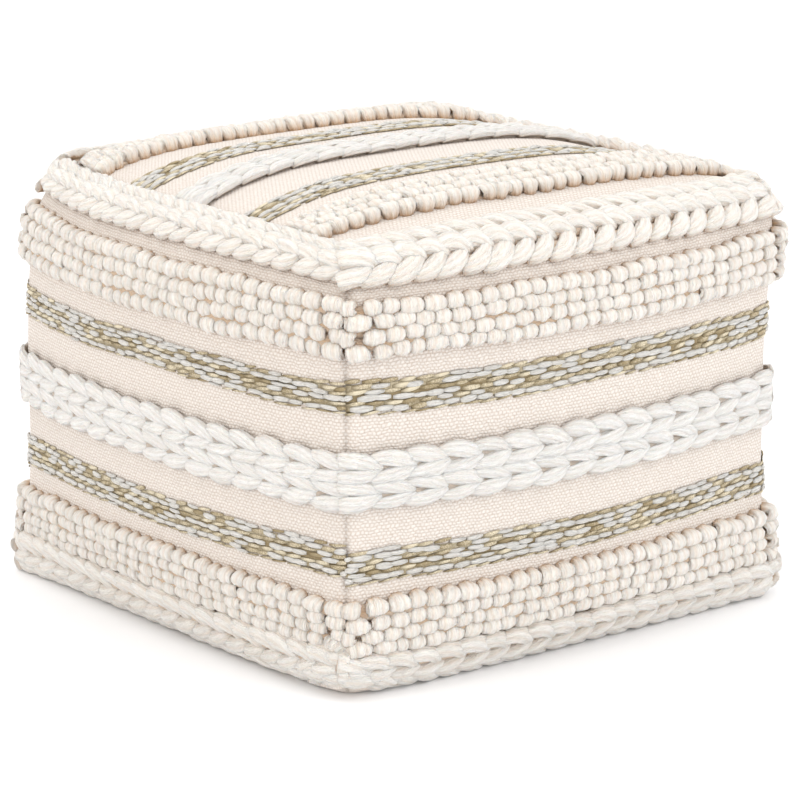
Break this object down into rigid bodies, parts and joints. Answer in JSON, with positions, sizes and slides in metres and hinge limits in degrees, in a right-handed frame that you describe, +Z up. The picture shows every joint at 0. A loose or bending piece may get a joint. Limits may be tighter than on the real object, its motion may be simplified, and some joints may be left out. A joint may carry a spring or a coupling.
{
  "type": "cube pouf stool",
  "caption": "Square upholstered floor pouf: a soft filled cube with a crowned top, banded with raised braids, loop rows and metallic float stripes on cream cloth.",
  "frame": {"origin": "on the floor under the middle of the overall box, at the flat underside of the base panel", "axes": "+Z up; +X to the right as seen from the front; the front is the -Y side; the stripes of the top run along X"},
  "size_m": [0.5216, 0.5301, 0.3865],
  "materials": {
    "ground_cloth": "matt plain-woven cotton",
    "base_cloth": "matt plain-woven cotton",
    "cream_yarn": "matt braided wool and cotton yarn",
    "loop_yarn": "matt looped yarn",
    "white_yarn": "soft braided cotton yarn",
    "float_yarn": "gold metallic thread between white floats"
  },
  "bodies": {
    "root": {"filled_body": "ground_cloth", "base_panel": "base_cloth", "front_braid_top": "cream_yarn", "front_loops_upper": "loop_yarn", "front_floats_upper": "float_yarn", "front_braid_mid": "white_yarn", "front_floats_lower": "float_yarn", "front_loops_lower": "loop_yarn", "front_braid_base": "cream_yarn", "right_braid_top": "cream_yarn", "right_loops_upper": "loop_yarn", "right_floats_upper": "float_yarn", "right_braid_mid": "white_yarn", "right_floats_lower": "float_yarn", "right_loops_lower": "loop_yarn", "right_braid_base": "cream_yarn", "back_braid_top": "cream_yarn", "back_loops_upper": "loop_yarn", "back_floats_upper": "float_yarn", "back_braid_mid": "white_yarn", "back_floats_lower": "float_yarn", "back_loops_lower": "loop_yarn", "back_braid_base": "cream_yarn", "left_braid_top": "cream_yarn", "left_loops_upper": "loop_yarn", "left_floats_upper": "float_yarn", "left_braid_mid": "white_yarn", "left_floats_lower": "float_yarn", "left_loops_lower": "loop_yarn", "left_braid_base": "cream_yarn", "top_loops_near": "loop_yarn", "top_floats_near": "float_yarn", "top_braid_mid": "white_yarn", "top_floats_far": "float_yarn", "top_loops_far": "loop_yarn"}
  },
  "joints": []
}
